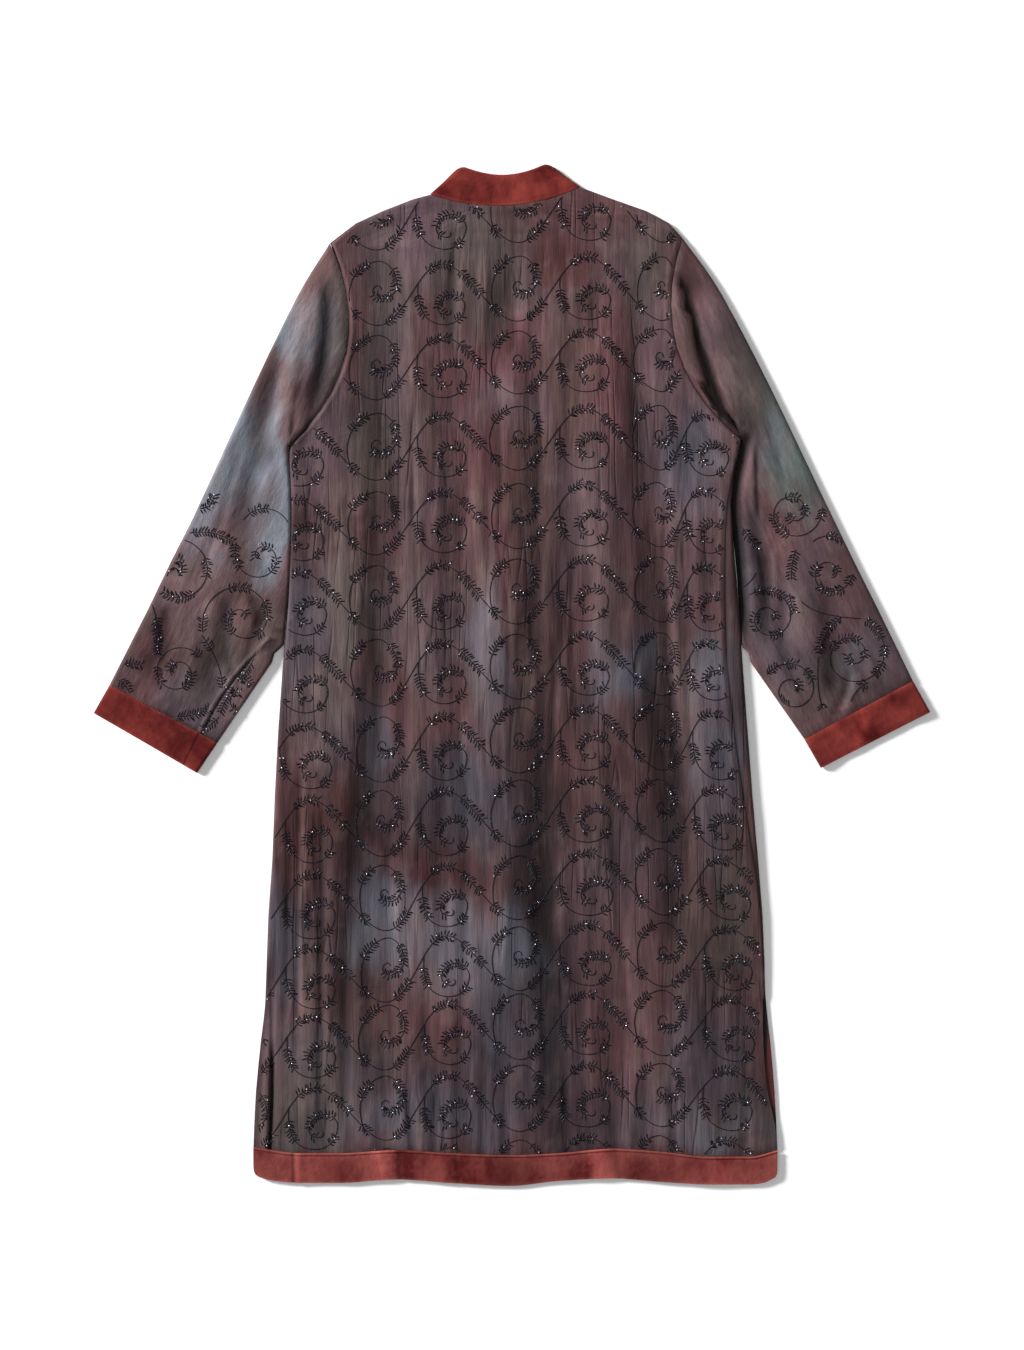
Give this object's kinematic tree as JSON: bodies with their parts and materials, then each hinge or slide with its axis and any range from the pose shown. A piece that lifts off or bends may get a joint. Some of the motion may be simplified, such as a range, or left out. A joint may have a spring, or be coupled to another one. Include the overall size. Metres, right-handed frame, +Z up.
{
  "type": "coat",
  "caption": "Long silk coat with a velvet stand collar, cuffs and hem band, laid flat on its front, tie-dyed and embroidered all over the back",
  "frame": {"origin": "centre of the coat's bounding box in X and Y, on the surface it lies on", "axes": "+Y from hem to collar, +X to the wearer's right side, +Z up, out of the coat's back"},
  "size_m": [0.9208, 1.1244, 0.0087],
  "materials": {
    "dyed_silk": "crinkled silk crepe, tie-dyed in mauve brown, slate grey and ice blue, soft sheen",
    "rust_velvet": "matt rust-red velvet with a short nap",
    "dark_red_facing": "plain dark red facing, matt",
    "navy_thread": "twisted dark navy thread, slight sheen",
    "dark_beads": "small dark glass beads with a metallic lustre"
  },
  "bodies": {
    "root": {"back": "dyed_silk", "front_left": "dyed_silk", "front_right": "dyed_silk", "sleeve_left": "dyed_silk", "sleeve_right": "dyed_silk", "cuff_left": "rust_velvet", "cuff_right": "rust_velvet", "collar": "rust_velvet", "hem_band_back": "rust_velvet", "hem_band_front_left": "rust_velvet", "hem_band_front_right": "rust_velvet", "vent_facing_right": "dark_red_facing"}
  },
  "joints": []
}
